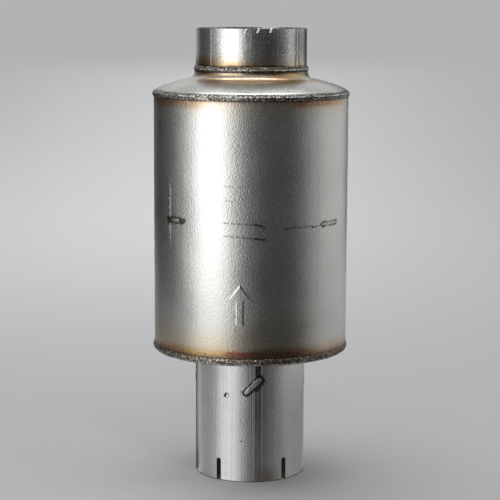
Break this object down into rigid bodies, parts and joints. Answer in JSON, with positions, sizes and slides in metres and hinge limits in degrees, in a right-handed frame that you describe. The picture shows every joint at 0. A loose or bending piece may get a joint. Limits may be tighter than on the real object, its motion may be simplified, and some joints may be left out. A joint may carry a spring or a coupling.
{
  "type": "spark arrestor",
  "caption": "Inline exhaust spark arrestor: welded steel drum on a slotted inlet tube, with swirl vanes, a carbon trap with a clean-out plug, and a plain outlet spigot.",
  "frame": {"origin": "centre of the inlet tube's mouth, the plane it stands on", "axes": "+Z along the axis from inlet to outlet; -Y is the front that the picture shows; the clean-out is at +Y"},
  "size_m": [0.232, 0.254, 0.529],
  "materials": {
    "shell_sheet": "satin aluminised sheet, heat tinted by the welds",
    "head_sheet": "satin aluminised sheet, heat tinted at rim and collar",
    "tube_steel": "drawn aluminised tube with a seam line",
    "inner_sheet": "mill aluminised sheet",
    "vane_steel": "mill sheet",
    "weld_metal": "as-welded, rippled and oxidised",
    "bung_steel": "turned",
    "plug_iron": "black malleable iron"
  },
  "bodies": {
    "root": {"baffle_collar_weld": "weld_metal", "baffle_plug_welds": "weld_metal", "bung_weld": "weld_metal", "cleanout_bung": "bung_steel", "cleanout_plug": "plug_iron", "cone_inlet_weld": "weld_metal", "cone_separator_weld": "weld_metal", "core_cap": "vane_steel", "expansion_cone": "inner_sheet", "inlet_head": "head_sheet", "inlet_neck_weld": "weld_metal", "inlet_rim_weld": "weld_metal", "inlet_tube": "tube_steel", "outlet_head": "head_sheet", "outlet_neck_weld": "weld_metal", "outlet_rim_weld": "weld_metal", "outlet_tube": "tube_steel", "separator_tube": "inner_sheet", "shell": "shell_sheet", "shell_seam_weld": "weld_metal", "swirl_vane_1": "vane_steel", "swirl_vane_2": "vane_steel", "swirl_vane_3": "vane_steel", "swirl_vane_4": "vane_steel", "trap_baffle": "inner_sheet", "vane_core": "vane_steel", "vane_slot_welds": "weld_metal"}
  },
  "joints": []
}
